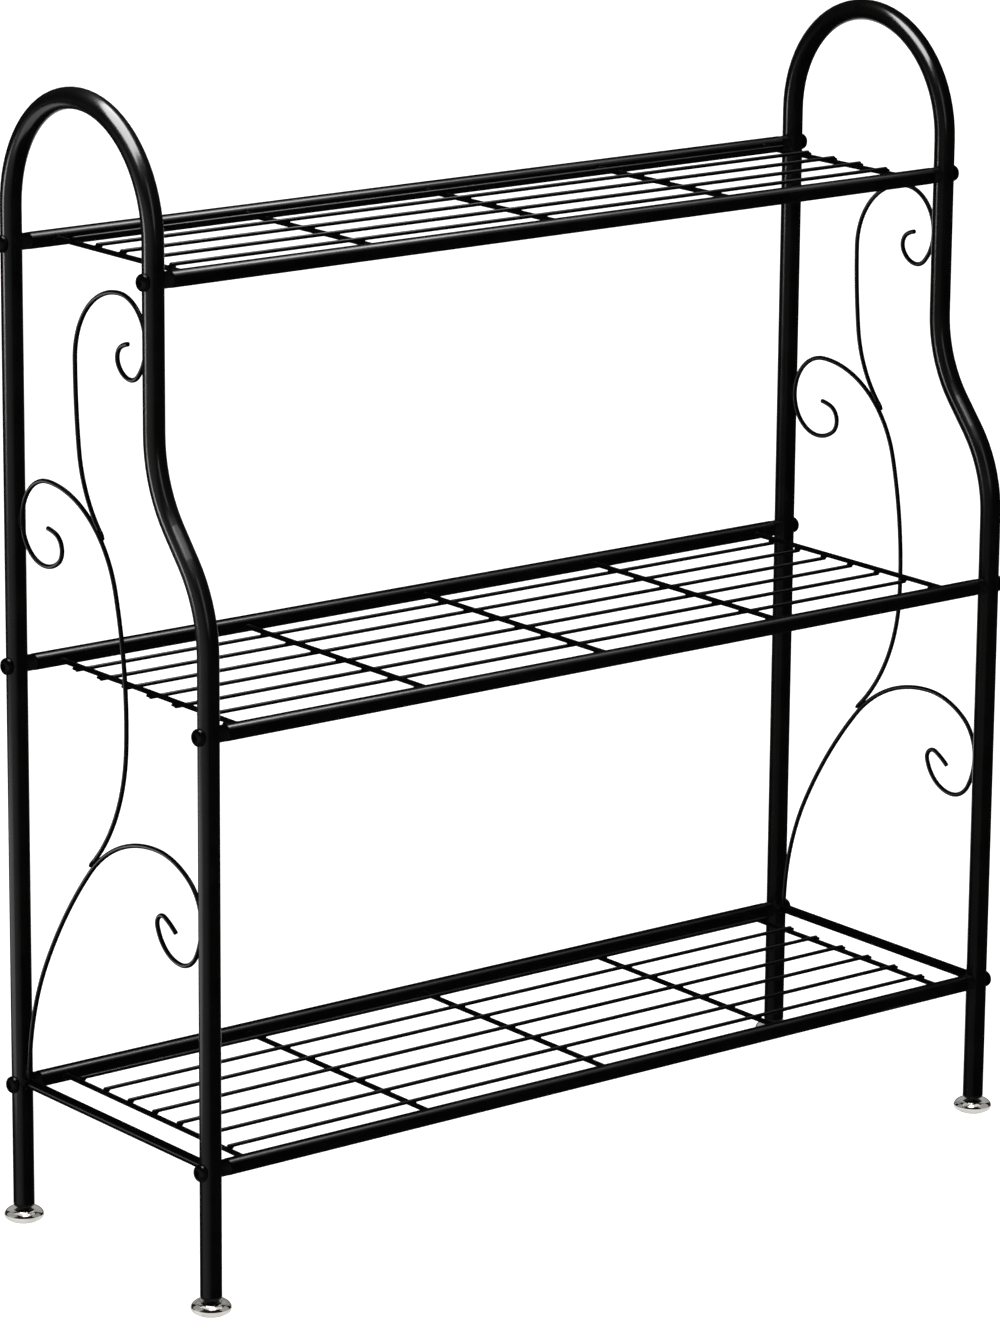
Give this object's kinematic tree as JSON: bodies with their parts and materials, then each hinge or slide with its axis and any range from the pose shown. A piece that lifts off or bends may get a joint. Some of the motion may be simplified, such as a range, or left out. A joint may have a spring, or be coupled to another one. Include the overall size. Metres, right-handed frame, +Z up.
{
  "type": "plant stand",
  "caption": "Tiered plant stand: arched tube side frames with scrolled wire carry wire-grid shelves, bolted at the legs, on screw feet that level it.",
  "frame": {"origin": "on the floor, midway between the four feet", "axes": "+X along the shelves to the right, +Y from front to back, +Z up"},
  "size_m": [0.7702, 0.2722, 0.866],
  "materials": {
    "frame_coat": "gloss black powder coat on steel tube",
    "wire_coat": "gloss black powder coat on steel wire",
    "bolt_black": "black-coated steel, semi-gloss",
    "spacer_plastic": "moulded black nylon",
    "insert_steel": "zinc-plated steel",
    "plug_plastic": "moulded black nylon",
    "stem_steel": "zinc-plated thread",
    "foot_chrome": "bright plated pressed steel",
    "pad_plastic": "moulded nylon"
  },
  "bodies": {
    "stand": {"back_left_leg_plug": "plug_plastic", "back_right_leg_plug": "plug_plastic", "bottom_back_tube": "frame_coat", "bottom_bolts": "bolt_black", "bottom_cross_wire_1": "wire_coat", "bottom_cross_wire_2": "wire_coat", "bottom_cross_wire_3": "wire_coat", "bottom_cross_wire_4": "wire_coat", "bottom_cross_wire_5": "wire_coat", "bottom_front_tube": "frame_coat", "bottom_long_wires": "wire_coat", "bottom_saddle_spacers": "spacer_plastic", "bottom_threaded_inserts": "insert_steel", "front_left_leg_plug": "plug_plastic", "front_right_leg_plug": "plug_plastic", "left_cross_bar": "frame_coat", "left_lower_scroll": "wire_coat", "left_middle_scroll": "wire_coat", "left_side_tube": "frame_coat", "left_upper_scroll": "wire_coat", "middle_back_tube": "frame_coat", "middle_bolts": "bolt_black", "middle_cross_wire_1": "wire_coat", "middle_cross_wire_2": "wire_coat", "middle_cross_wire_3": "wire_coat", "middle_cross_wire_4": "wire_coat", "middle_cross_wire_5": "wire_coat", "middle_front_tube": "frame_coat", "middle_long_wires": "wire_coat", "middle_saddle_spacers": "spacer_plastic", "middle_threaded_inserts": "insert_steel", "right_cross_bar": "frame_coat", "right_lower_scroll": "wire_coat", "right_middle_scroll": "wire_coat", "right_side_tube": "frame_coat", "right_upper_scroll": "wire_coat", "top_back_tube": "frame_coat", "top_bolts": "bolt_black", "top_cross_wire_1": "wire_coat", "top_cross_wire_2": "wire_coat", "top_cross_wire_3": "wire_coat", "top_cross_wire_4": "wire_coat", "top_cross_wire_5": "wire_coat", "top_front_tube": "frame_coat", "top_long_wires": "wire_coat", "top_saddle_spacers": "spacer_plastic", "top_threaded_inserts": "insert_steel"},
    "front_left_foot": {"front_left_foot_cap": "foot_chrome", "front_left_foot_pad": "pad_plastic"},
    "front_left_stem": {"front_left_foot_stem": "stem_steel"},
    "front_right_foot": {"front_right_foot_cap": "foot_chrome", "front_right_foot_pad": "pad_plastic"},
    "front_right_stem": {"front_right_foot_stem": "stem_steel"},
    "back_left_foot": {"back_left_foot_cap": "foot_chrome", "back_left_foot_pad": "pad_plastic"},
    "back_left_stem": {"back_left_foot_stem": "stem_steel"},
    "back_right_foot": {"back_right_foot_cap": "foot_chrome", "back_right_foot_pad": "pad_plastic"},
    "back_right_stem": {"back_right_foot_stem": "stem_steel"}
  },
  "joints": [
    {"name": "front_left_foot_lift", "type": "slide", "parent": "stand", "child": "front_left_foot", "axis": [0, 0, -1], "range_m": [-0.001, 0.01]},
    {"name": "front_left_stem_turn", "type": "hinge", "parent": "front_left_foot", "child": "front_left_stem", "pos_m": [-0.37, -0.121, 0.02], "axis": [0, 0, -1], "range_deg": [-288, 2880]},
    {"name": "front_right_foot_lift", "type": "slide", "parent": "stand", "child": "front_right_foot", "axis": [0, 0, -1], "range_m": [-0.001, 0.01]},
    {"name": "front_right_stem_turn", "type": "hinge", "parent": "front_right_foot", "child": "front_right_stem", "pos_m": [0.37, -0.121, 0.02], "axis": [0, 0, -1], "range_deg": [-288, 2880]},
    {"name": "back_left_foot_lift", "type": "slide", "parent": "stand", "child": "back_left_foot", "axis": [0, 0, -1], "range_m": [-0.001, 0.01]},
    {"name": "back_left_stem_turn", "type": "hinge", "parent": "back_left_foot", "child": "back_left_stem", "pos_m": [-0.37, 0.121, 0.02], "axis": [0, 0, -1], "range_deg": [-288, 2880]},
    {"name": "back_right_foot_lift", "type": "slide", "parent": "stand", "child": "back_right_foot", "axis": [0, 0, -1], "range_m": [-0.001, 0.01]},
    {"name": "back_right_stem_turn", "type": "hinge", "parent": "back_right_foot", "child": "back_right_stem", "pos_m": [0.37, 0.121, 0.02], "axis": [0, 0, -1], "range_deg": [-288, 2880]}
  ],
  "couplings": [
    {"joint": "front_left_stem_turn", "follows": "front_left_foot_lift", "rad_per_m": 5026.5},
    {"joint": "front_right_stem_turn", "follows": "front_right_foot_lift", "rad_per_m": 5026.5},
    {"joint": "back_left_stem_turn", "follows": "back_left_foot_lift", "rad_per_m": 5026.5},
    {"joint": "back_right_stem_turn", "follows": "back_right_foot_lift", "rad_per_m": 5026.5}
  ]
}
